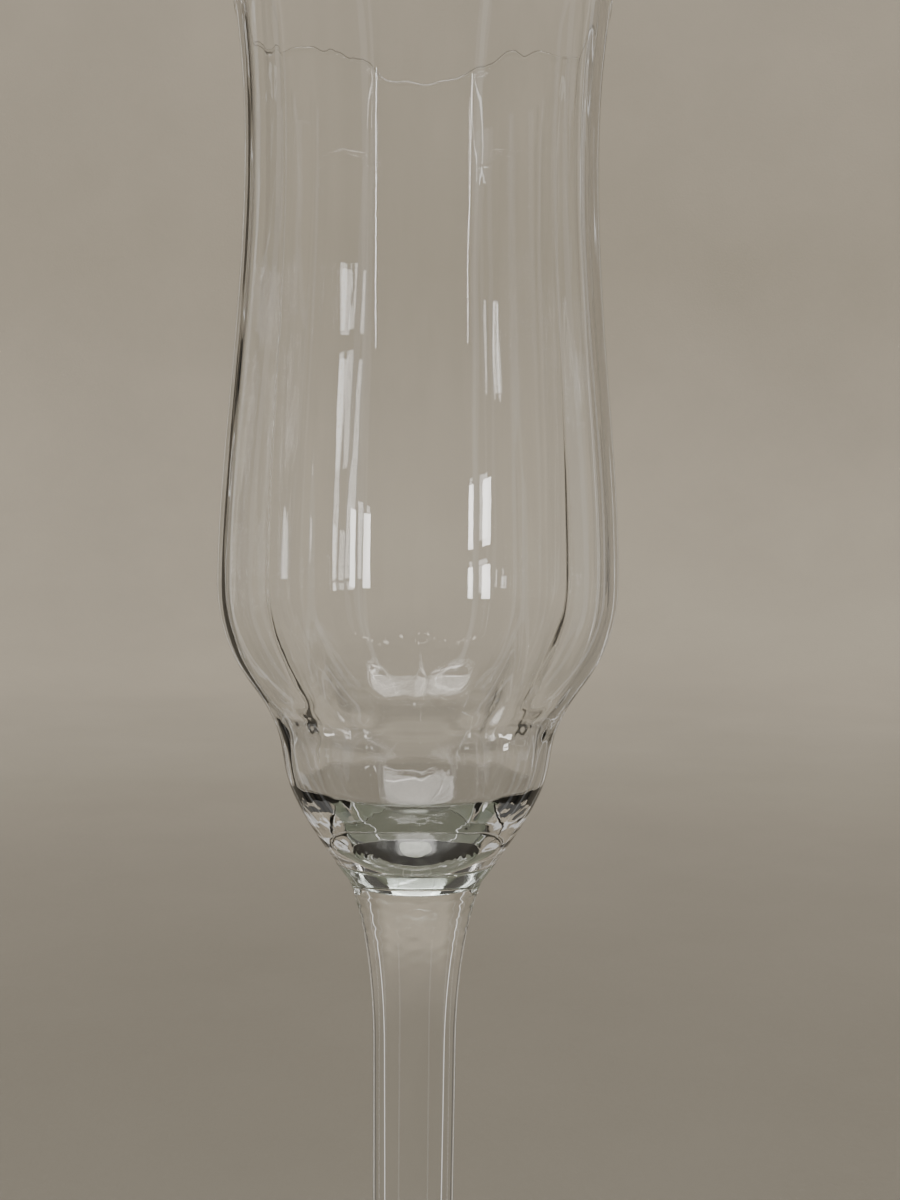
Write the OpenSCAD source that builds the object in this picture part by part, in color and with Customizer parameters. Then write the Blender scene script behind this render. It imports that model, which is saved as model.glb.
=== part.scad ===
// Champagne flute with a lobed tulip bowl, a small collar, a drawn stem and a round foot.
// Millimetres, +Z up, standing on z = 0, the axis of the glass on the Z axis.

/* [Heights] */

// Height from the table to the highest tip of the rim
total_height = 230; // [180:1:270]
// Height of the joint between the bowl and the collar, from the table
bowl_base_height = 113.2; // [80:1:140]
// Height of the collar between the bowl and the stem
collar_height = 3; // [2:0.1:9]
// Height of the foot where the stem is fused to it
foot_height = 7; // [4:0.5:14]

/* [Bowl diameters] */

// Diameter over the lobes at the rim
rim_diameter = 51; // [40:0.2:70]
// Diameter over the lobes at the narrowest part of the neck
neck_diameter = 48.2; // [36:0.2:64]
// Diameter over the lobes at the fullest part of the belly
belly_diameter = 55.4; // [44:0.2:72]
// Diameter over the lobes in the crease of the waist
waist_diameter = 37.4; // [28:0.2:50]
// Diameter over the lobes at the fullest part of the lower cup
cup_diameter = 38; // [28:0.2:52]
// Diameter of the round joint face between the bowl and the collar
joint_diameter = 22.8; // [16:0.2:30]

/* [Bowl levels, as a share of the bowl height] */

// Level of the fullest part of the lower cup
cup_level = 0.147; // [0.1:0.002:0.155]
// Level of the waist crease
waist_level = 0.176; // [0.16:0.002:0.21]
// Level of the fullest part of the belly
belly_level = 0.327; // [0.28:0.005:0.45]
// Level of the narrowest part of the neck
neck_level = 0.832; // [0.65:0.002:0.88]

/* [Lobes] */

// Number of lobes round the bowl
lobe_count = 5; // [4:1:8]
// How far each lobe's centre of curvature stands off the axis at the rim, as a share of the radius
rim_lobe = 0.24; // [0.05:0.01:0.45]
// The same share at the neck
neck_lobe = 0.22; // [0.05:0.01:0.45]
// The same share at the belly
belly_lobe = 0.34; // [0.05:0.01:0.45]
// The same share at the waist
waist_lobe = 0.42; // [0.05:0.01:0.48]
// The same share in the lower cup
cup_lobe = 0.34; // [0.05:0.01:0.45]
// The same share at the root of the cup, just above the joint
root_lobe = 0.06; // [0.02:0.01:0.52]
// How far the rim dips between two lobes
rim_dip = 4; // [0:0.5:9]

/* [Glass thickness] */

// Wall at the rim
rim_wall = 1.2; // [0.9:0.1:2.5]
// Wall at the belly
belly_wall = 1.5; // [1.1:0.1:3]
// Wall in the lower cup
cup_wall = 1.6; // [1.2:0.1:3]
// Thickness of the floor of the bowl
floor_thickness = 1.2; // [0.8:0.1:4]

/* [Collar and stem] */

// Diameter of the round joint face between the collar and the stem
stem_top_diameter = 18.6; // [12:0.2:22]
// Diameter of the stem where its upper flare ends
stem_upper_diameter = 11.8; // [8:0.2:15]
// Diameter of the stem at its thinnest, above the foot
stem_lower_diameter = 11; // [7:0.2:14]
// Diameter of the round joint face between the stem and the foot
stem_base_diameter = 19; // [14:0.5:26]
// Length of the flare at the top of the stem
upper_flare = 24; // [12:1:32]
// Length of the flare at the bottom of the stem
lower_flare = 14; // [8:1:24]

/* [Foot] */

// Diameter of the foot
foot_diameter = 68; // [58:0.5:84]
// Thickness of the foot at its edge
foot_edge = 2.4; // [1.6:0.1:4]
// Width of the flat ring the foot stands on
rest_ring = 5; // [3:0.5:10]
// Depth of the hollow under the foot
foot_hollow = 1.1; // [0.4:0.1:1.4]

/* [Hidden] */

bowl_height = total_height - bowl_base_height;
cup_z = bowl_base_height + cup_level * bowl_height;
// The lobes grow out of the round joint to their full depth at this level
root_z = bowl_base_height + 0.18 * (cup_z - bowl_base_height);
waist_z = bowl_base_height + waist_level * bowl_height;
belly_z = bowl_base_height + belly_level * bowl_height;
neck_z = bowl_base_height + neck_level * bowl_height;
floor_z = bowl_base_height + floor_thickness;
stem_top_z = bowl_base_height - collar_height;
// The inside of the bowl closes in a round floor within this share of the cup's height
floor_round = 0.58 * (cup_z - bowl_base_height);
// Half the height over which the waist crease is rounded off, outside and inside
crease_round = 2.3;
inner_crease_round = 4;
// The same over the middle of a lobe, and how far from the waist it reaches
crease_fill = 8;
fade_reach = 10;
lobe_angle = 360 / lobe_count;
lobe_steps = 12;
segments = lobe_steps * lobe_count;
// Share of the lobe angle over which a valley between two lobes is rounded
valley_round = 0.1;
glass = [0.86, 0.9, 0.88, 0.35];

// Rings of the outer skin in each zone: cup, crease, lower belly, upper belly, lip
cup_rings = 8;
floor_rings = 4;
crease_rings = 2;
belly_rings = 11;
wall_rings = 14;
lip_rings = 7;

function ease(t) = (1 - cos(180 * t)) / 2;
function mix(a, b, t) = a + (b - a) * t;
function share(z, a, b) = min(1, max(0, (z - a) / (b - a)));

// Radius over the lobes at a height: a quarter wave for the cup, a short inward crease,
// a full quarter wave for the petals, a long easy neck and a lip that turns out.
function cup_radius(z) =
    mix(joint_diameter, cup_diameter, sin(90 * share(z, bowl_base_height, cup_z))) / 2;
function crease_radius(z) =
    mix(cup_diameter, waist_diameter, pow(share(z, cup_z, waist_z), 2)) / 2;
function petal_radius(z) =
    mix(waist_diameter, belly_diameter, pow(sin(90 * share(z, waist_z, belly_z)), 0.67)) / 2;
function neck_radius(z) =
    mix(belly_diameter, neck_diameter, ease(pow(share(z, belly_z, neck_z), 0.9))) / 2;
function lip_radius(z) =
    mix(neck_diameter, rim_diameter, pow(share(z, neck_z, total_height), 2)) / 2;
function bowl_radius(z) =
    z < cup_z ? cup_radius(z) :
    z < waist_z ? crease_radius(z) :
    z < belly_z ? petal_radius(z) :
    z < neck_z ? neck_radius(z) : lip_radius(z);

// The radius averaged over a few levels, so that the crease is a smooth hollow
function soft_radius(z, reach) =
    let (near = min(reach, z - bowl_base_height, total_height - z))
    (bowl_radius(z - near) + 2 * bowl_radius(z - near / 2) + 3 * bowl_radius(z)
        + 2 * bowl_radius(z + near / 2) + bowl_radius(z + near)) / 9;

// How strongly the skin is lobed at a height, from none at the joint
function lobing(z) =
    z < root_z ? root_lobe * ease(share(z, bowl_base_height, root_z)) :
    z < cup_z ? mix(root_lobe, cup_lobe, ease(share(z, root_z, cup_z))) :
    z < waist_z ? mix(cup_lobe, waist_lobe, ease(share(z, cup_z, waist_z))) :
    z < belly_z ? mix(waist_lobe, belly_lobe, ease(share(z, waist_z, belly_z))) :
    z < neck_z ? mix(belly_lobe, neck_lobe, ease(share(z, belly_z, neck_z))) :
    mix(neck_lobe, rim_lobe, share(z, neck_z, total_height));

// Wall thickness at a height
function wall(z) =
    z < waist_z ? cup_wall :
    z < belly_z ? mix(cup_wall, belly_wall, ease(share(z, waist_z, belly_z))) :
    mix(belly_wall, rim_wall, share(z, belly_z, total_height));

// Angle from the middle of the nearest lobe, with the valley between lobes rounded off
function lobe_turn(a) = abs((a + lobe_angle * 100.5 + 90) % lobe_angle - lobe_angle / 2);
function soften(a) =
    let (half = lobe_angle / 2, r = half * valley_round)
    a < half - 2 * r ? a : a - pow(a - half + 2 * r, 2) / (4 * r);
function lobe_scale(a, c) =
    let (p = soften(lobe_turn(a)))
    c * cos(p) + sqrt(pow(1 - c, 2) - pow(c * sin(p), 2));

// Where the rim is, all round: highest at the middle of a lobe
function rim_z(a) = total_height - rim_dip * ease(lobe_turn(a) / (lobe_angle / 2));
function lift(z, a) =
    z <= neck_z ? z : neck_z + (z - neck_z) * (rim_z(a) - neck_z) / (total_height - neck_z);

// The waist crease fades out over the middle of each lobe and is sharp beside the valleys
function crease_fade(z, a) =
    ease(share(0.6 - lobe_turn(a) / (lobe_angle / 2), 0, 0.45))
        * ease(share(fade_reach - abs(z - waist_z), 0, fade_reach));
function skin_radius(z, a, reach) =
    mix(soft_radius(z, reach), soft_radius(z, crease_fill), crease_fade(z, a));

function outer_point(z, a) =
    let (r = skin_radius(z, a, crease_round) * lobe_scale(a, lobing(z)))
    [r * cos(a), r * sin(a), lift(z, a)];
function closing(z) =
    let (w = share(z, floor_z, floor_z + floor_round))
    (sqrt(w) + sin(90 * sqrt(w))) / 2;
function inner_point(z, a) =
    let (
        skin = skin_radius(z, a, inner_crease_round) * lobe_scale(a, lobing(z)) - wall(z),
        r = skin * closing(z)
    )
    [r * cos(a), r * sin(a), lift(z, a)];

function steps(a, b, n) = [for (i = [0 : n - 1]) a + (b - a) * i / n];
function upper_levels() = concat(
    steps(waist_z, belly_z, belly_rings),
    steps(belly_z, neck_z, wall_rings),
    steps(neck_z, total_height, lip_rings),
    [total_height]);
function outer_levels() = concat(
    steps(bowl_base_height, cup_z, cup_rings),
    steps(cup_z, waist_z, crease_rings),
    upper_levels());
// The inside levels start just above the floor, close together where the floor is round
function inner_levels() = concat(
    [for (i = [1 : floor_rings]) floor_z + floor_round * (1 - cos(90 * i / floor_rings))],
    [for (i = [1 : cup_rings - 1]) mix(floor_z + floor_round, waist_z, i / cup_rings)],
    upper_levels());

module bowl() {
    outside = outer_levels();
    inside = inner_levels();
    no = len(outside);
    ni = len(inside);
    n = segments;
    turn = 360 / n;
    outer_points = [for (z = outside) for (j = [0 : n - 1]) outer_point(z, j * turn)];
    inner_points = [for (z = inside) for (j = [0 : n - 1]) inner_point(z, j * turn)];
    under = no * n + ni * n;
    top = under + 1;
    inner_start = no * n;
    outer_faces = [for (i = [0 : no - 2]) for (j = [0 : n - 1]) for (h = [0, 1])
        let (k = (j + 1) % n, a = i * n, b = (i + 1) * n)
        h == 0 ? [a + j, b + j, b + k] : [a + j, b + k, a + k]];
    inner_faces = [for (i = [0 : ni - 2]) for (j = [0 : n - 1]) for (h = [0, 1])
        let (k = (j + 1) % n, a = inner_start + i * n, b = inner_start + (i + 1) * n)
        h == 0 ? [a + j, b + k, b + j] : [a + j, a + k, b + k]];
    lip_faces = [for (j = [0 : n - 1]) for (h = [0, 1])
        let (k = (j + 1) % n, a = (no - 1) * n, b = inner_start + (ni - 1) * n)
        h == 0 ? [a + j, b + j, b + k] : [a + j, b + k, a + k]];
    base_faces = [for (j = [0 : n - 1]) [under, j, (j + 1) % n]];
    floor_faces = [for (j = [0 : n - 1]) [top, inner_start + (j + 1) % n, inner_start + j]];
    color(glass)
        polyhedron(
            points = concat(outer_points, inner_points,
                [[0, 0, bowl_base_height], [0, 0, floor_z]]),
            faces = concat(outer_faces, inner_faces, lip_faces, base_faces, floor_faces),
            convexity = 6);
}

// The collar is one solid wafer: a round edge below the bowl that draws in to the stem
module collar() {
    lip = collar_height * 0.22;
    mid = mix(joint_diameter, stem_top_diameter, 0.62) / 2;
    color(glass)
        rotate_extrude($fn = 96)
            polygon([
                [0, stem_top_z],
                [stem_top_diameter / 2, stem_top_z],
                [mid, stem_top_z + collar_height * 0.45],
                [joint_diameter / 2, bowl_base_height - lip],
                [joint_diameter / 2, bowl_base_height],
                [0, bowl_base_height]]);
}

// Radius of the stem at a height, flared at both ends
stem_flare_z = stem_top_z - upper_flare;
stem_foot_z = foot_height + lower_flare;
function stem_radius(z) =
    z > stem_flare_z ? mix(stem_upper_diameter, stem_top_diameter,
        pow(share(z, stem_flare_z, stem_top_z), 2.4)) / 2 :
    z > stem_foot_z ? mix(stem_lower_diameter, stem_upper_diameter,
        share(z, stem_foot_z, stem_flare_z)) / 2 :
    mix(stem_base_diameter, stem_lower_diameter,
        1 - pow(1 - share(z, foot_height, stem_foot_z), 2.4)) / 2;
function stem_levels() = concat(
    steps(foot_height, stem_foot_z, 8),
    [stem_foot_z],
    [for (i = [0 : 10]) mix(stem_flare_z, stem_top_z, i / 10)]);

module stem() {
    color(glass)
        rotate_extrude($fn = 96)
            polygon(concat(
                [[0, foot_height]],
                [for (z = stem_levels()) [stem_radius(z), z]],
                [[0, stem_top_z]]));
}

// The foot is a low round cone with a rounded edge, hollowed a little underneath
foot_radius = foot_diameter / 2;
hollow_radius = foot_radius - foot_edge / 2 - rest_ring;
function foot_top(t) =
    [mix(stem_base_diameter / 2, foot_radius - foot_edge / 2, t),
     mix(foot_height, foot_edge, 1 - pow(1 - t, 1.7))];

module foot() {
    edge = foot_edge / 2;
    color(glass)
        rotate_extrude($fn = 120)
            polygon(concat(
                [[0, foot_height]],
                [for (i = [0 : 9]) foot_top(i / 10)],
                [for (i = [0 : 8]) [
                    foot_radius - edge + edge * cos(90 - i * 22.5),
                    edge + edge * sin(90 - i * 22.5)]],
                [[hollow_radius, 0]],
                [for (i = [1 : 5]) [
                    hollow_radius * cos(i * 18),
                    foot_hollow * sin(i * 18)]]));
}

bowl();
collar();
stem();
foot();
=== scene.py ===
import bpy
import bmesh
import math
from mathutils import Matrix, Vector


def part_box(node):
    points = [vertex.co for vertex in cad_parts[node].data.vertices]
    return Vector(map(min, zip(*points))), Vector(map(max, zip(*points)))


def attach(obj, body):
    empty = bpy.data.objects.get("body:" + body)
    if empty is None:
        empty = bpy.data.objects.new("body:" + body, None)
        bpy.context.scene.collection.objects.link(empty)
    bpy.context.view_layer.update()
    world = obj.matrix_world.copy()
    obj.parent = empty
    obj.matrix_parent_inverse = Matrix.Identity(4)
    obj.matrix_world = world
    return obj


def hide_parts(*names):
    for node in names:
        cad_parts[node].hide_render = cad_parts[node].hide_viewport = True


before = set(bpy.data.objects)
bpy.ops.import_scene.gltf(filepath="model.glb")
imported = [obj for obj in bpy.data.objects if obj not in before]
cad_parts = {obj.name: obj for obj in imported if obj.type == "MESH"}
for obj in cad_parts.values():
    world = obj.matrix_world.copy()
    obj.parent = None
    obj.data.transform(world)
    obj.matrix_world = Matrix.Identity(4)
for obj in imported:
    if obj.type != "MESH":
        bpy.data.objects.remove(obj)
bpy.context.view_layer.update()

MM = 0.001

# Heights of the joints and the rim, from the CAD pieces
FOOT_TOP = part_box("foot")[1].z
STEM_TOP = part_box("stem")[1].z
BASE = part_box("bowl")[0].z
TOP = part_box("bowl")[1].z
FOOT_R = (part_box("foot")[1].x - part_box("foot")[0].x) / 2
JOINT_R = (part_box("collar")[1].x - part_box("collar")[0].x) / 2
STEM_FOOT_R = (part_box("stem")[1].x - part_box("stem")[0].x) / 2

# Radii over the lobes, the same as the CAD bowl
RIM_R = 25.5 * MM
NECK_R = 24.1 * MM
BELLY_R = 27.7 * MM
WAIST_R = 18.7 * MM
CUP_R = 19.0 * MM
STEM_TOP_R = 9.3 * MM
STEM_UPPER_R = 5.9 * MM
STEM_LOWER_R = 5.5 * MM

# Levels of the bowl, as shares of its height
HEIGHT = TOP - BASE
CUP_Z = BASE + 0.147 * HEIGHT
WAIST_Z = BASE + 0.176 * HEIGHT
BELLY_Z = BASE + 0.327 * HEIGHT
NECK_Z = BASE + 0.832 * HEIGHT
FLOOR_Z = BASE + 1.2 * MM
FLOOR_ROUND = 10.0 * MM

LOBES = 5
RIM_LOBE = 0.24
NECK_LOBE = 0.22
BELLY_LOBE = 0.34
WAIST_LOBE = 0.42
CUP_LOBE = 0.34
BASE_LOBE = 0.06
RIM_DIP = 4.0 * MM
VALLEY_ROUND = 0.07
INNER_VALLEY_ROUND = 1.3 * VALLEY_ROUND

# Half the height over which the waist crease is rounded: outside, inside, and mid-lobe
CREASE_ROUND = 2.3 * MM
INNER_CREASE_ROUND = 4.0 * MM
WAIST_FADE = 8.0 * MM
WAIST_FADE_REACH = 10 * MM

UPPER_FLARE = 24 * MM
LOWER_FLARE = 14 * MM
REST_RING = 5 * MM
FOOT_HOLLOW = 1.1 * MM
FOOT_EDGE_R = 1.2 * MM

# Distance of the stage's cards and window panes from the axis
CARD_REACH = 0.13
PANE_REACH = 0.5

# Points round each piece, and rings of the bowl's skin in each zone
TURNS = 240
CUP_RINGS = 44
CREASE_RINGS = 14
PETAL_RINGS = 60
NECK_RINGS = 90
LIP_RINGS = 44
RIM_RINGS = 12
FLOOR_RINGS = 30
WELL_RINGS = 26


def share(z, a, b):
    return min(1.0, max(0.0, (z - a) / (b - a)))


def mix(a, b, t):
    return a + (b - a) * t


def ease(t):
    return (1 - math.cos(math.pi * t)) / 2


def quarter(t):
    return math.sin(math.pi / 2 * t)


def bowl_radius(z):
    """Radius over the lobes of the bowl's outside at height z."""
    if z < CUP_Z:
        return mix(JOINT_R, CUP_R, quarter(share(z, BASE, CUP_Z)))
    if z < WAIST_Z:
        return mix(CUP_R, WAIST_R, share(z, CUP_Z, WAIST_Z) ** 2)
    if z < BELLY_Z:
        return mix(WAIST_R, BELLY_R, quarter(share(z, WAIST_Z, BELLY_Z)) ** 0.67)
    if z < NECK_Z:
        return mix(BELLY_R, NECK_R, ease(share(z, BELLY_Z, NECK_Z) ** 0.9))
    return mix(NECK_R, RIM_R, share(z, NECK_Z, TOP) ** 2)


def lobing(z):
    """How strongly the bowl is lobed at height z."""
    if z < CUP_Z:
        root = BASE_LOBE * ease(share(z, BASE, BASE + 3 * MM))
        return mix(root, CUP_LOBE, ease(share(z, BASE + 3 * MM, CUP_Z)))
    if z < WAIST_Z:
        return mix(CUP_LOBE, WAIST_LOBE, ease(share(z, CUP_Z, WAIST_Z)))
    if z < BELLY_Z:
        return mix(WAIST_LOBE, BELLY_LOBE, ease(share(z, WAIST_Z, BELLY_Z)))
    if z < NECK_Z:
        return mix(BELLY_LOBE, NECK_LOBE, ease(share(z, BELLY_Z, NECK_Z)))
    return mix(NECK_LOBE, RIM_LOBE, share(z, NECK_Z, TOP))


def wall(z):
    if z < WAIST_Z:
        return 1.6 * MM
    if z < BELLY_Z:
        return mix(1.6, 1.5, ease(share(z, WAIST_Z, BELLY_Z))) * MM
    return mix(1.5, 1.2, share(z, BELLY_Z, TOP)) * MM


def blurred(f, z, reach):
    """f averaged over a few heights about z, so that a crease has a rounded bottom."""
    steps = 20
    weights = [1 - abs(i) / (steps + 1) for i in range(-steps, steps + 1)]
    at = [max(BASE, min(TOP, z + reach * i / steps)) for i in range(-steps, steps + 1)]
    return sum(w * f(t) for w, t in zip(weights, at)) / sum(weights)


def lobe_turn(a):
    """Angle in radians from the middle of the nearest lobe. One lobe is centred on -Y."""
    full = 2 * math.pi / LOBES
    return abs((a + full * 100.5 + math.pi / 2) % full - full / 2)


def mid_lobe(a):
    """1 over the middle of a lobe, fading to 0 beside its valleys, where the waist is pinched."""
    return ease(share(0.6 - lobe_turn(a) / (math.pi / LOBES), 0, 0.45))


def lobe_scale(a, c, soft):
    """Share of the radius over the lobes at angle a, for lobes whose centres stand off by c."""
    half = math.pi / LOBES
    r = half * soft
    p = lobe_turn(a)
    if p > half - 2 * r:
        p -= (p - half + 2 * r) ** 2 / (4 * r)
    return c * math.cos(p) + math.sqrt((1 - c) ** 2 - (c * math.sin(p)) ** 2)


def lift(z, a):
    if z <= NECK_Z:
        return z
    rim = TOP - RIM_DIP * ease(lobe_turn(a) / (math.pi / LOBES))
    return NECK_Z + (z - NECK_Z) * (rim - NECK_Z) / (TOP - NECK_Z)


def closed_piece(name, rings, bottom, top):
    """A closed mesh from rings of points, with a pole under the first ring and over the last."""
    mesh = bpy.data.meshes.new(name)
    bm = bmesh.new()
    rows = [[bm.verts.new(p) for p in ring] for ring in rings]
    low = bm.verts.new(bottom)
    high = bm.verts.new(top)
    n = len(rows[0])
    for lower, upper in zip(rows, rows[1:]):
        for j in range(n):
            k = (j + 1) % n
            bm.faces.new((lower[j], lower[k], upper[k], upper[j]))
    for j in range(n):
        k = (j + 1) % n
        bm.faces.new((low, rows[0][k], rows[0][j]))
        bm.faces.new((high, rows[-1][j], rows[-1][k]))
    for f in bm.faces:
        f.smooth = True
    bmesh.ops.recalc_face_normals(bm, faces=bm.faces)
    bm.to_mesh(mesh)
    bm.free()
    piece = bpy.data.objects.new(name, mesh)
    bpy.context.scene.collection.objects.link(piece)
    return piece


def circle(r, z, turns=TURNS):
    return [
        Vector((r * math.cos(2 * math.pi * j / turns), r * math.sin(2 * math.pi * j / turns), z))
        for j in range(turns)
    ]


def spread(a, b, n):
    return [a + (b - a) * i / n for i in range(n)]


def mark_joint(piece, *heights):
    """Faces on a flat joint between two fused pieces take the piece's second material."""
    for f in piece.data.polygons:
        level = all(abs(piece.data.vertices[v].co.z - f.center.z) < 1e-6 for v in f.vertices)
        if level and any(abs(f.center.z - h) < 1e-6 for h in heights):
            f.material_index = 1
            f.use_smooth = False


def optic(a, z):
    """The faint upright ribs and drawn waves of the inside skin."""
    up = share(z, BASE, WAIST_Z) * share(TOP - z, 0, 6 * MM)
    ribs = math.sin(20 * a + 0.7 * math.sin(3 * a)) * (0.7 + 0.3 * math.sin(7 * a + 1.0))
    drawn = 0.35 * math.sin(33 * a + 2.1 * math.sin(2 * a) + 14 * z)
    return 0.055 * MM * up * (ribs + drawn)


def faded_radii(z, reach, fade, middle):
    """Radius over the lobes at height z for each angle: the waist is filled in mid-lobe."""
    sharp = blurred(bowl_radius, z, reach)
    filled = blurred(bowl_radius, z, fade)
    near = ease(share(WAIST_FADE_REACH - abs(z - WAIST_Z), 0, WAIST_FADE_REACH))
    return [mix(sharp, filled, m * near) for m in middle]


def outer_ring(z, angles, middle):
    rise = z - BASE
    radii = faded_radii(z, min(CREASE_ROUND, rise), min(WAIST_FADE, rise), middle)
    c = lobing(z)
    return [(r * lobe_scale(a, c, VALLEY_ROUND), a, z) for r, a in zip(radii, angles)]


def rim_ring(t, half_lip, angles):
    """One ring of the rounded lip, at angle t over its top from the outside to the inside."""
    r = RIM_R - half_lip + half_lip * math.cos(t)
    z = TOP - half_lip + half_lip * math.sin(t)
    c = lobing(TOP)
    return [(r + RIM_R * (lobe_scale(a, c, VALLEY_ROUND) - 1), a, z) for a in angles]


def inner_ring(z, angles, middle):
    radii = faded_radii(z, INNER_CREASE_ROUND, WAIST_FADE, middle)
    closing = share(z, FLOOR_Z, FLOOR_Z + FLOOR_ROUND) ** 0.5
    closing = mix(closing, math.sin(math.pi / 2 * closing), 0.5)
    pinch = math.exp(-((z - WAIST_Z - 3 * MM) / (6 * MM)) ** 2)
    c = lobing(z) * (1.0 + 0.08 * pinch)
    ring = []
    for r, a in zip(radii, angles):
        skin = r * lobe_scale(a, c, INNER_VALLEY_ROUND) - wall(z) + optic(a, z)
        ring.append((skin * closing, a, z))
    return ring


def build_bowl():
    cup = spread(BASE, CUP_Z, CUP_RINGS) + spread(CUP_Z, WAIST_Z, CREASE_RINGS)
    upper = (
        spread(WAIST_Z, BELLY_Z, PETAL_RINGS) + spread(BELLY_Z, NECK_Z, NECK_RINGS)
        + spread(NECK_Z, TOP, LIP_RINGS)
    )
    half_lip = wall(TOP) / 2
    upper = [z for z in upper if z <= TOP - half_lip]
    floor_turn = [math.pi / 2 * i / FLOOR_RINGS for i in range(1, FLOOR_RINGS + 1)]
    well = [FLOOR_Z + FLOOR_ROUND * (1 - math.cos(t)) for t in floor_turn]
    well += spread(FLOOR_Z + FLOOR_ROUND, WAIST_Z, WELL_RINGS)[1:]
    angles = [2 * math.pi * j / TURNS for j in range(TURNS)]
    middle = [mid_lobe(a) for a in angles]
    rings = [outer_ring(z, angles, middle) for z in cup + upper]
    rings += [rim_ring(math.pi * i / RIM_RINGS, half_lip, angles) for i in range(RIM_RINGS + 1)]
    rings += [inner_ring(z, angles, middle) for z in reversed(well + upper)]
    points = [
        [Vector((r * math.cos(a), r * math.sin(a), lift(z, a))) for r, a, z in ring]
        for ring in rings
    ]
    return closed_piece("bowl_glass", points, (0, 0, BASE), (0, 0, FLOOR_Z))


def stem_radius(z):
    flare = STEM_TOP - UPPER_FLARE
    foot = FOOT_TOP + LOWER_FLARE
    if z > flare:
        return mix(STEM_UPPER_R, STEM_TOP_R, share(z, flare, STEM_TOP) ** 2.4)
    if z > foot:
        return mix(STEM_LOWER_R, STEM_UPPER_R, share(z, foot, flare))
    return mix(STEM_FOOT_R, STEM_LOWER_R, 1 - (1 - share(z, FOOT_TOP, foot)) ** 2.4)


def build_collar():
    h = BASE - STEM_TOP
    profile = []
    for i in range(25):
        t = i / 24
        swell = 0.16 * MM * math.sin(math.pi * t) ** 0.6
        r = min(mix(STEM_TOP_R, JOINT_R, t ** 1.2) + swell, JOINT_R)
        profile.append((r, STEM_TOP + h * t))
    rings = [circle(r, z) for r, z in profile]
    return closed_piece("collar_glass", rings, (0, 0, STEM_TOP), (0, 0, BASE))


def tooled(a, z):
    """The shallow chatter left on the flare under the joint, always inward of the drawn radius."""
    start = ease(share(z, STEM_TOP - 13 * MM, STEM_TOP - 3 * MM))
    end = ease(share(STEM_TOP - z, 0, 1.5 * MM))
    height = z / MM
    ripple = math.sin(2.3 * height + 4 * a) * math.sin(7 * a + 1.1)
    ripple += math.sin(3.1 * height - 3 * a) * math.sin(11 * a)
    return -0.08 * MM * start * end * (1 + 0.22 * ripple)


def build_stem():
    tooled_from = STEM_TOP - 15 * MM
    levels = spread(FOOT_TOP, tooled_from, 150) + spread(tooled_from, STEM_TOP, 120) + [STEM_TOP]
    angles = [2 * math.pi * j / TURNS for j in range(TURNS)]
    rings = []
    for z in levels:
        radii = [stem_radius(z) + tooled(a, z) for a in angles]
        rings.append([Vector((r * math.cos(a), r * math.sin(a), z)) for r, a in zip(radii, angles)])
    return closed_piece("stem_glass", rings, (0, 0, FOOT_TOP), (0, 0, STEM_TOP))


def build_foot():
    edge = FOOT_EDGE_R
    ring_in = FOOT_R - edge - REST_RING
    profile = []
    for i in range(1, 25):
        t = math.pi / 2 * (1 - i / 24)
        profile.append((ring_in * math.cos(t), FOOT_HOLLOW * math.sin(t)))
    profile += [(mix(ring_in, FOOT_R - edge, i / 6), 0.0) for i in range(1, 6)]
    for i in range(13):
        t = -math.pi / 2 + math.pi * i / 12
        profile.append((FOOT_R - edge + edge * math.cos(t), edge + edge * math.sin(t)))
    for i in range(1, 41):
        t = 1 - i / 40
        r = mix(STEM_FOOT_R, FOOT_R - edge, t)
        profile.append((r, mix(FOOT_TOP, 2 * edge, 1 - (1 - t) ** 1.7)))
    rings = [circle(r, z) for r, z in profile]
    return closed_piece("foot_glass", rings, (0, 0, FOOT_HOLLOW), (0, 0, FOOT_TOP))


def node(tree, kind, **values):
    made = tree.nodes.new(kind)
    for key, value in values.items():
        setattr(made, key, value)
    return made


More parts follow.
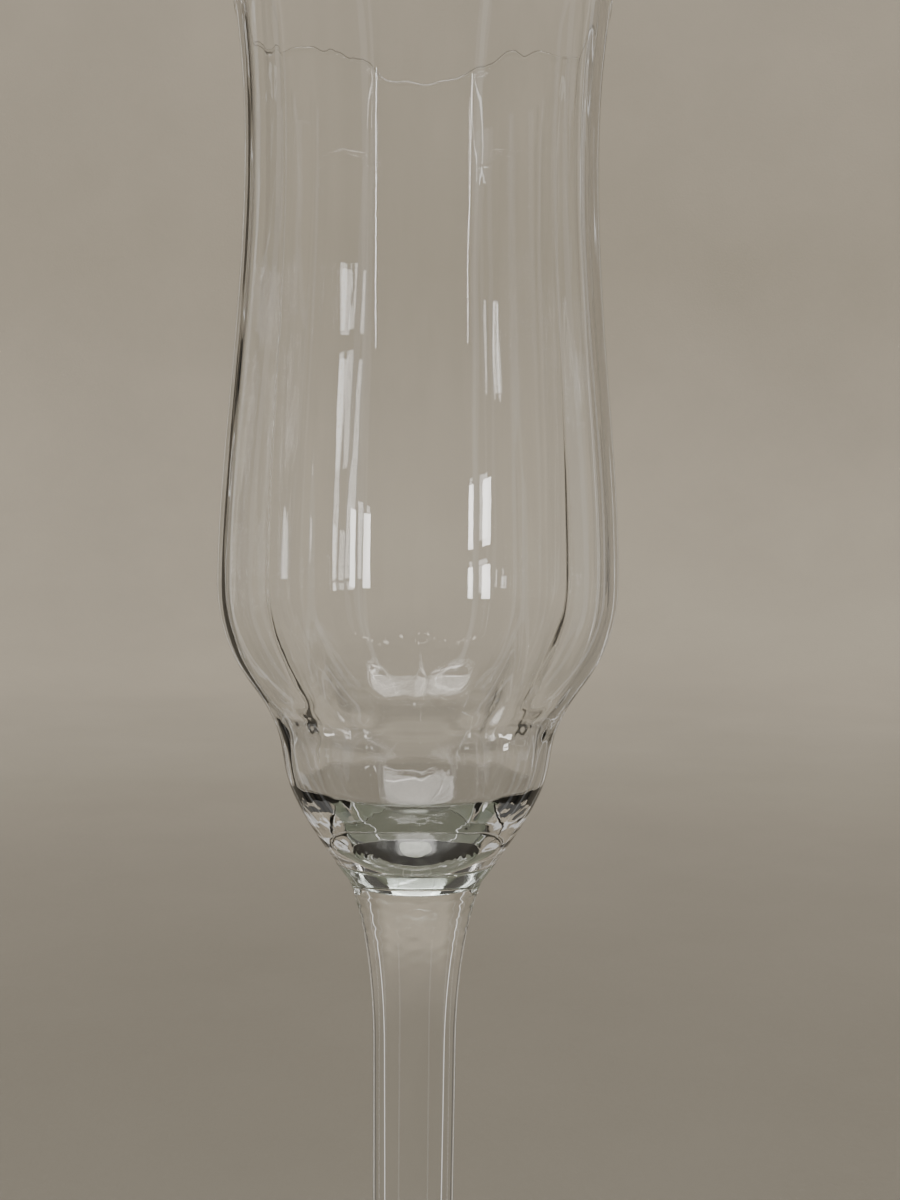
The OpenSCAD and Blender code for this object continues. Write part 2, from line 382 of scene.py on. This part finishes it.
def glass_material(name, streak, smudge):
    """Clear glass: drawn streaks and a slow wave in the skin, faint smudges, a faint grey depth."""
    mat = bpy.data.materials.new(name)
    mat.use_nodes = True
    tree = mat.node_tree
    tree.nodes.clear()
    out = node(tree, "ShaderNodeOutputMaterial")
    glass = node(tree, "ShaderNodeBsdfPrincipled")
    glass.inputs["Base Color"].default_value = (0.995, 0.997, 0.996, 1)
    glass.inputs["Transmission Weight"].default_value = 1.0
    glass.inputs["IOR"].default_value = 1.52
    coord = node(tree, "ShaderNodeTexCoord")
    stretch = node(tree, "ShaderNodeMapping")
    stretch.inputs["Scale"].default_value = (1.0, 1.0, 0.07)
    streaks = node(tree, "ShaderNodeTexNoise")
    streaks.inputs["Scale"].default_value = 260.0
    streaks.inputs["Detail"].default_value = 2.0
    wave = node(tree, "ShaderNodeTexNoise")
    wave.inputs["Scale"].default_value = 55.0
    wave.inputs["Detail"].default_value = 1.0
    both = node(tree, "ShaderNodeMath", operation="MULTIPLY_ADD")
    both.inputs[1].default_value = streak
    bump = node(tree, "ShaderNodeBump")
    bump.inputs["Strength"].default_value = 0.25
    bump.inputs["Distance"].default_value = 0.0004
    prints = node(tree, "ShaderNodeTexNoise")
    prints.inputs["Scale"].default_value = 90.0
    prints.inputs["Detail"].default_value = 6.0
    prints.inputs["Roughness"].default_value = 0.65
    span = node(tree, "ShaderNodeMapRange")
    span.inputs["From Min"].default_value = 0.52
    span.inputs["From Max"].default_value = 0.8
    span.inputs["To Min"].default_value = 0.0
    span.inputs["To Max"].default_value = smudge
    link = tree.links.new
    link(coord.outputs["Object"], stretch.inputs["Vector"])
    link(stretch.outputs["Vector"], streaks.inputs["Vector"])
    link(coord.outputs["Object"], wave.inputs["Vector"])
    link(coord.outputs["Object"], prints.inputs["Vector"])
    link(streaks.outputs["Fac"], both.inputs[0])
    link(wave.outputs["Fac"], both.inputs[2])
    link(both.outputs["Value"], bump.inputs["Height"])
    link(bump.outputs["Normal"], glass.inputs["Normal"])
    link(prints.outputs["Fac"], span.inputs["Value"])
    link(span.outputs["Result"], glass.inputs["Roughness"])
    path = node(tree, "ShaderNodeLightPath")
    through = node(tree, "ShaderNodeBsdfTransparent")
    through.inputs["Color"].default_value = (0.93, 0.95, 0.94, 1)
    lamp = node(tree, "ShaderNodeMixShader")
    link(path.outputs["Is Shadow Ray"], lamp.inputs["Fac"])
    link(glass.outputs["BSDF"], lamp.inputs[1])
    link(through.outputs["BSDF"], lamp.inputs[2])
    link(lamp.outputs["Shader"], out.inputs["Surface"])
    depth = node(tree, "ShaderNodeVolumeAbsorption")
    depth.inputs["Color"].default_value = (0.86, 0.90, 0.88, 1)
    depth.inputs["Density"].default_value = 1.5
    link(depth.outputs["Volume"], out.inputs["Volume"])
    return mat


def joint_material():
    """The face where two pieces are fused: clear, with only a trace of sheen."""
    mat = bpy.data.materials.new("fused_joint")
    mat.use_nodes = True
    tree = mat.node_tree
    tree.nodes.clear()
    out = node(tree, "ShaderNodeOutputMaterial")
    clear = node(tree, "ShaderNodeBsdfTransparent")
    sheen = node(tree, "ShaderNodeBsdfGlossy")
    sheen.inputs["Roughness"].default_value = 0.08
    seam = node(tree, "ShaderNodeMixShader")
    seam.inputs["Fac"].default_value = 0.05
    tree.links.new(clear.outputs["BSDF"], seam.inputs[1])
    tree.links.new(sheen.outputs["BSDF"], seam.inputs[2])
    tree.links.new(seam.outputs["Shader"], out.inputs["Surface"])
    return mat


def cloth_material(name, low, high):
    """The plain pale stage: a fine weave and slow tone changes, with painted shade: a deeper tone
    near the glass and four darker sectors further out.
    """
    mat = bpy.data.materials.new(name)
    mat.use_nodes = True
    tree = mat.node_tree
    paint = tree.nodes["Principled BSDF"]
    paint.inputs["Roughness"].default_value = 0.95
    paint.inputs["Specular IOR Level"].default_value = 0.1
    coord = node(tree, "ShaderNodeTexCoord")
    axes = node(tree, "ShaderNodeSeparateXYZ")
    # Painted shade: the cloth is painted darker near the glass and grows lighter out to the wall and
    # up it.
    rise = node(tree, "ShaderNodeMapRange", interpolation_type="SMOOTHSTEP")
    rise.inputs["From Min"].default_value = 0.15
    rise.inputs["From Max"].default_value = 1.35
    tone = node(tree, "ShaderNodeMix", data_type="RGBA")
    tone.inputs["A"].default_value = (*low, 1)
    tone.inputs["B"].default_value = (*high, 1)
    slow = node(tree, "ShaderNodeTexNoise")
    slow.inputs["Scale"].default_value = 3.5
    slow.inputs["Detail"].default_value = 6.0
    slow.inputs["Roughness"].default_value = 0.6
    patchy = node(tree, "ShaderNodeMapRange")
    patchy.inputs["From Min"].default_value = 0.3
    patchy.inputs["From Max"].default_value = 0.7
    patchy.inputs["To Min"].default_value = 0.93
    patchy.inputs["To Max"].default_value = 1.06
    weave = node(tree, "ShaderNodeTexNoise")
    weave.inputs["Scale"].default_value = 420.0
    weave.inputs["Detail"].default_value = 2.0
    grain = node(tree, "ShaderNodeBump")
    grain.inputs["Strength"].default_value = 0.2
    grain.inputs["Distance"].default_value = 0.001
    shade = node(tree, "ShaderNodeVectorMath", operation="SCALE")
    # Painted shade: beyond about half a metre, the cloth is darkened in four broad sectors round the
    # glass, down to three quarters of its tone.
    around = node(tree, "ShaderNodeMath", operation="ARCTAN2")
    fourfold = node(tree, "ShaderNodeMath", operation="MULTIPLY")
    fourfold.inputs[1].default_value = 4.0
    wave = node(tree, "ShaderNodeMath", operation="COSINE")
    painted_fold_shade = node(tree, "ShaderNodeMapRange", interpolation_type="SMOOTHSTEP")
    painted_fold_shade.inputs["From Min"].default_value = -0.55
    painted_fold_shade.inputs["From Max"].default_value = 0.15
    painted_fold_shade.inputs["To Min"].default_value = 0.75
    far = node(tree, "ShaderNodeVectorMath", operation="LENGTH")
    reach = node(tree, "ShaderNodeMapRange", interpolation_type="SMOOTHSTEP")
    reach.inputs["From Min"].default_value = 0.45
    reach.inputs["From Max"].default_value = 0.9
    painted_drape_shade = node(tree, "ShaderNodeMix", data_type="FLOAT")
    painted_drape_shade.inputs["A"].default_value = 1.0
    total = node(tree, "ShaderNodeMath", operation="MULTIPLY")
    link = tree.links.new
    link(coord.outputs["Object"], axes.inputs["Vector"])
    link(far.outputs["Value"], rise.inputs["Value"])
    link(rise.outputs["Result"], tone.inputs["Factor"])
    link(coord.outputs["Object"], slow.inputs["Vector"])
    link(slow.outputs["Fac"], patchy.inputs["Value"])
    link(tone.outputs["Result"], shade.inputs[0])
    link(axes.outputs["Y"], around.inputs[0])
    link(axes.outputs["X"], around.inputs[1])
    link(around.outputs["Value"], fourfold.inputs[0])
    link(fourfold.outputs["Value"], wave.inputs[0])
    link(wave.outputs["Value"], painted_fold_shade.inputs["Value"])
    link(coord.outputs["Object"], far.inputs[0])
    link(far.outputs["Value"], reach.inputs["Value"])
    link(reach.outputs["Result"], painted_drape_shade.inputs["Factor"])
    link(painted_fold_shade.outputs["Result"], painted_drape_shade.inputs["B"])
    link(painted_drape_shade.outputs["Result"], total.inputs[0])
    link(patchy.outputs["Result"], total.inputs[1])
    link(total.outputs["Value"], shade.inputs["Scale"])
    link(shade.outputs["Vector"], paint.inputs["Base Color"])
    link(coord.outputs["Object"], weave.inputs["Vector"])
    link(weave.outputs["Fac"], grain.inputs["Height"])
    link(grain.outputs["Normal"], paint.inputs["Normal"])
    return mat


def build_stage():
    """A round floor that turns up into a wall all round, so every side has the same backdrop."""
    mesh = bpy.data.meshes.new("stage_floor")
    bm = bmesh.new()
    radius, turn_up, height, turns = 1.5, 0.45, 2.0, 96
    profile = [(0.15, 0), (0.4, 0), (0.7, 0), (radius - turn_up, 0)]
    for i in range(1, 13):
        t = math.pi / 2 * i / 12
        profile.append((radius - turn_up + turn_up * math.sin(t), turn_up * (1 - math.cos(t))))
    profile.append((radius, height))
    rows = [[bm.verts.new(p) for p in circle(r, z, turns)] for r, z in profile]
    centre = bm.verts.new((0, 0, 0))
    for j in range(turns):
        k = (j + 1) % turns
        bm.faces.new((centre, rows[0][j], rows[0][k]))
        for lower, upper in zip(rows, rows[1:]):
            bm.faces.new((lower[j], upper[j], upper[k], lower[k]))
    for f in bm.faces:
        f.smooth = True
    bm.to_mesh(mesh)
    bm.free()
    floor = bpy.data.objects.new("stage_floor", mesh)
    bpy.context.scene.collection.objects.link(floor)
    # Painted shade: the near tone is the cloth painted darker around the glass.
    painted_shade_tone, far_tone = (0.17, 0.157, 0.132), (0.47, 0.434, 0.368)
    floor.data.materials.append(cloth_material("stage_cloth", painted_shade_tone, far_tone))


def area_light(name, place, aim, size, power, colour):
    lamp = bpy.data.lights.new(name, "AREA")
    lamp.shape = "RECTANGLE"
    lamp.size, lamp.size_y = size
    lamp.energy = power
    lamp.color = colour
    made = bpy.data.objects.new(name, lamp)
    made.location = place
    made.rotation_euler = (Vector(aim) - Vector(place)).to_track_quat("-Z", "Y").to_euler()
    bpy.context.scene.collection.objects.link(made)
    return made


def card(name, turn, width, brightness, reach=CARD_REACH, low=0.001, height=0.28):
    """An upright card near the glass, seen only in the glass, as a streak or a bright pane.

    turn is its bearing in degrees from +Y towards +X, and low is the height of its lower edge.
    """
    mesh = bpy.data.meshes.new(name)
    bm = bmesh.new()
    corners = [(-width / 2, 0), (width / 2, 0), (width / 2, height), (-width / 2, height)]
    bm.faces.new([bm.verts.new((x, 0, z)) for x, z in corners])
    bm.to_mesh(mesh)
    bm.free()
    made = bpy.data.objects.new(name, mesh)
    bearing = math.radians(turn)
    made.location = (reach * math.sin(bearing), reach * math.cos(bearing), low)
    made.rotation_euler = (0, 0, -bearing)
    bpy.context.scene.collection.objects.link(made)
    mat = bpy.data.materials.new(name)
    mat.use_nodes = True
    tree = mat.node_tree
    tree.nodes.clear()
    out = node(tree, "ShaderNodeOutputMaterial")
    glow = node(tree, "ShaderNodeEmission")
    glow.inputs["Color"].default_value = (1.0, 0.98, 0.95, 1)
    glow.inputs["Strength"].default_value = brightness
    tree.links.new(glow.outputs["Emission"], out.inputs["Surface"])
    made.data.materials.append(mat)
    made.visible_camera = False
    made.visible_diffuse = False
    made.visible_shadow = False


def place_cards():
    """Dark flags and bright strips to both sides, which outline the clear glass."""
    for side in (-1, 1):
        card(f"flag_near_{side + 1}", side * 60, 0.011, 0.08)
        card(f"strip_near_{side + 1}", side * 70, 0.008, 0.9)
        card(f"flag_far_{side + 1}", side * 82, 0.012, 0.08)
        card(f"strip_far_{side + 1}", side * 95, 0.012, 0.8)
        card(f"strip_mid_{side + 1}", side * 34, 0.0025, 1.2)
        card(f"strip_front_{side + 1}", side * 140, 0.010, 1.0)


def place_panes():
    """The panes of two windows in front of the glass, one to each side."""
    for i, turn in enumerate((126, 138)):
        card(f"pane_right_low_{i}", turn, 0.062, 34, PANE_REACH, 0.10, 0.06)
        card(f"pane_right_top_{i}", turn, 0.062, 34, PANE_REACH, 0.18, 0.055)
        card(f"pane_left_{i}", -turn - 2, 0.040, 28, PANE_REACH, 0.13, 0.08)


def light_stage():
    world = bpy.data.worlds.new("stage_world")
    bpy.context.scene.world = world
    world.use_nodes = True
    back = world.node_tree.nodes["Background"]
    back.inputs["Color"].default_value = (1.0, 0.97, 0.93, 1)
    back.inputs["Strength"].default_value = 0.06
    middle = (0, 0, 0.16)
    area_light("slit_right", (0.48, -0.62, 0.60), middle, (0.012, 0.4), 0.3, (1, 0.98, 0.95))
    area_light("slit_left", (-0.46, -0.64, 0.55), middle, (0.010, 0.3), 0.25, (0.95, 0.98, 1))
    area_light("tube_front", (0.12, -0.45, 1.25), middle, (0.5, 0.03), 2.5, (1, 0.98, 0.95))
    area_light("tube_back", (0.12, -0.25, 1.35), middle, (0.5, 0.03), 2.5, (1, 0.98, 0.95))
    for i in range(7):
        side = -0.54 + 0.18 * i
        area_light(f"downlight_{i}", (side, -0.75, 1.0), middle, (0.035, 0.035), 0.5, (1, 0.96, 0.88))
    area_light("ceiling", (0.0, 0.1, 1.9), (0, 0, 0), (1.3, 1.3), 34, (1, 0.97, 0.93))


def place_camera():
    """Close in front of the bowl, level with its belly and turned a little down."""
    cam = bpy.data.objects.new("camera", bpy.data.cameras.new("camera"))
    cam.data.sensor_width = 36
    cam.data.lens = 43.4
    cam.data.clip_start = 0.01
    pitch, yaw, roll = math.radians(-3.28), math.radians(-1.26), math.radians(0.57)
    look = Matrix.Rotation(yaw, 4, "Z") @ Matrix.Rotation(math.pi / 2 + pitch, 4, "X")
    place = Matrix.Translation((0, -0.2, 0.1608))
    cam.matrix_world = place @ look @ Matrix.Rotation(roll, 4, "Z")
    bpy.context.scene.collection.objects.link(cam)
    bpy.context.scene.camera = cam


clear = glass_material("bowl_glass", 0.35, 0.03)
solid = glass_material("stem_glass", 0.25, 0.03)
joint = joint_material()

bowl = build_bowl()
collar = build_collar()
stem = build_stem()
foot = build_foot()

for piece, cad_node, slot, mat in (
    (bowl, "bowl", "bowl_glass", clear),
    (collar, "collar", "stem_glass", solid),
    (stem, "stem", "stem_glass", solid),
    (foot, "foot", "foot_glass", solid),
):
    piece.data.materials.append(mat)
    piece.data.materials.append(joint)
    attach(piece, "root")
    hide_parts(cad_node)
mark_joint(bowl, BASE)
mark_joint(collar, BASE, STEM_TOP)
mark_joint(stem, STEM_TOP, FOOT_TOP)
mark_joint(foot, FOOT_TOP)

build_stage()
light_stage()
place_cards()
place_panes()
place_camera()
